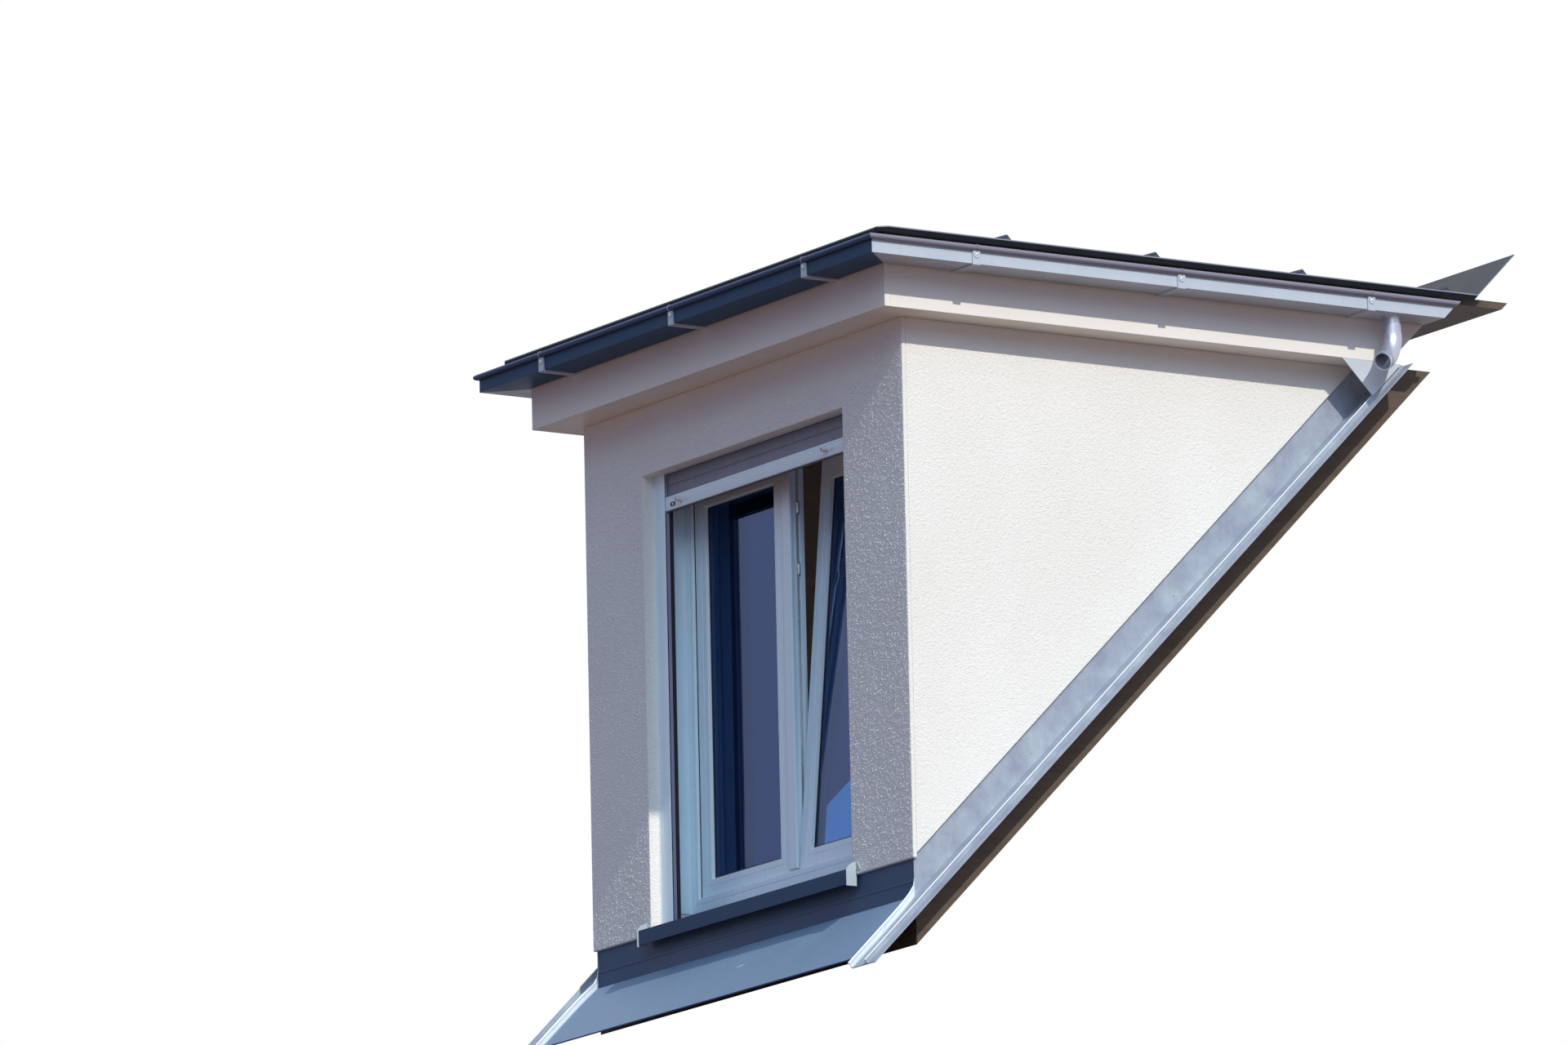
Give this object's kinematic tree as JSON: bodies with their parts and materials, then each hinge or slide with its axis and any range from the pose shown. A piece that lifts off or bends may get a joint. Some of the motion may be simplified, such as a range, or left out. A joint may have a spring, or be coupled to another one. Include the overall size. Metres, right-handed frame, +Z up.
{
  "type": "dormer window",
  "caption": "Boxed dormer window with rendered cheeks, a two-sash window tilted open on one side, roller shutter, metal roof, box gutter and slope flashings.",
  "frame": {"origin": "middle of the sloping seat under the front wall, where the dormer rests on the rafters", "axes": "+X to the right seen from outside, +Y back into the house, +Z up; the seat rises at 45 degrees along +Y"},
  "size_m": [2.5182, 2.6897, 2.6023],
  "materials": {
    "render": "fine scratched mineral render, matte",
    "timber": "timber framing and boarding",
    "board": "painted boards, satin",
    "roof_sheet": "dark coated sheet, satin",
    "drip": "dark coated sheet, satin",
    "gutter": "blue-grey weathered zinc sheet, satin",
    "outlet_zinc": "bright zinc tube",
    "window_plastic": "white window plastic",
    "glass": "clear sealed double glazing",
    "hardware": "plated steel",
    "slats": "grey shutter slats",
    "stop_rubber": "pale stop buffers",
    "sill_sheet": "dark slate-blue folded sheet",
    "sill_cap": "pale end caps",
    "apron_sheet": "blue-grey weathered zinc sheet",
    "zinc": "mottled bright zinc sheet"
  },
  "bodies": {
    "root": {"front_render": "render", "cheek_render_left": "render", "cheek_render_right": "render", "front_wall": "timber", "cheek_left": "timber", "cheek_right": "timber", "roof_joists": "timber", "roof_deck": "timber", "ceiling_panel": "board", "soffit_front": "board", "soffit_left": "board", "soffit_right": "board", "fascia_front": "board", "fascia_left": "board", "fascia_right": "board", "roof_sheet": "roof_sheet", "standing_seams": "roof_sheet", "back_flashing": "roof_sheet", "drip_edge": "drip", "gutter_front": "gutter", "gutter_left": "gutter", "gutter_right": "gutter", "gutter_brackets": "gutter", "outlet_left": "outlet_zinc", "outlet_right": "outlet_zinc", "window_frame": "window_plastic", "sash_left": "window_plastic", "meeting_post": "window_plastic", "sash_right": "window_plastic", "sash_handle": "window_plastic", "shutter_guides": "window_plastic", "shutter_bottom_bar": "window_plastic", "shutter_box": "window_plastic", "glass_left": "glass", "glass_right": "glass", "sash_hinges": "hardware", "shutter_curtain": "slats", "shutter_stops": "stop_rubber", "window_sill": "sill_sheet", "sill_end_caps": "sill_cap", "base_strip": "apron_sheet", "apron_flashing": "apron_sheet", "side_flashing_left": "zinc", "side_flashing_right": "zinc", "apron_seams": "zinc", "eaves_closers": "zinc"}
  },
  "joints": []
}
